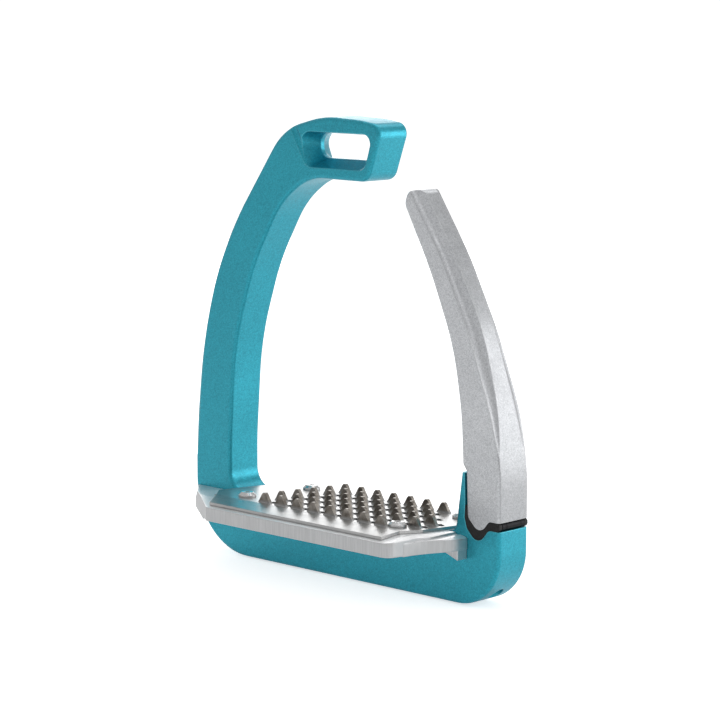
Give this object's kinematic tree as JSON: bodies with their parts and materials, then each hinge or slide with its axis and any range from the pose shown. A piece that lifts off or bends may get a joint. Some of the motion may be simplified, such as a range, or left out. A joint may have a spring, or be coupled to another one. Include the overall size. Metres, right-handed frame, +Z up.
{
  "type": "stirrup iron",
  "caption": "Offset-eye safety stirrup iron: fixed arm and base in one casting, sprung outer arm that swings open, toothed tread plate.",
  "frame": {"origin": "centre of the base at its flat underside", "axes": "+X towards the release arm, -Y towards the toe side of the tread, +Z up to the leather slot"},
  "size_m": [0.1416, 0.0556, 0.1538],
  "materials": {
    "teal_coat": "satin metallic",
    "silver_coat": "satin metallic, fine sparkle",
    "cast_aluminium": "satin",
    "plate_steel": "satin stainless",
    "screw_steel": "polished",
    "dark_steel": "black oxide",
    "spring_steel": "drawn wire",
    "black_rubber": "matte"
  },
  "bodies": {
    "frame_body": {"frame": "teal_coat", "joint_gasket": "black_rubber", "base_hinge_block": "dark_steel", "hinge_pin": "dark_steel", "hinge_washers": "dark_steel", "base_hinge_screw": "dark_steel", "tread_support": "cast_aluminium", "tread_support_screws": "screw_steel", "grip_plate": "plate_steel", "grip_plate_screws": "screw_steel"},
    "arm_body": {"release_arm": "silver_coat", "arm_hinge_block": "dark_steel", "arm_hinge_screws": "screw_steel", "spring_collar": "screw_steel", "return_spring": "spring_steel"},
    "draw_bar_body": {"draw_bar": "screw_steel", "draw_bar_crossbar": "screw_steel", "spring_washer": "screw_steel", "draw_bar_nut": "screw_steel"}
  },
  "joints": [
    {"name": "arm_hinge", "type": "hinge", "parent": "frame_body", "child": "arm_body", "pos_m": [0.0694, 0, 0.0272], "axis": [0, 1, 0], "range_deg": [0, 90], "stiffness_Nm_per_rad": 0.01},
    {"name": "draw_bar_slide", "type": "slide", "parent": "arm_body", "child": "draw_bar_body", "axis": [0, 0, -1], "range_m": [0, 0.004], "deforming": ["return_spring"]}
  ],
  "couplings": [
    {"joint": "draw_bar_slide", "follows": "arm_hinge", "m_per_rad": 0.0025}
  ]
}
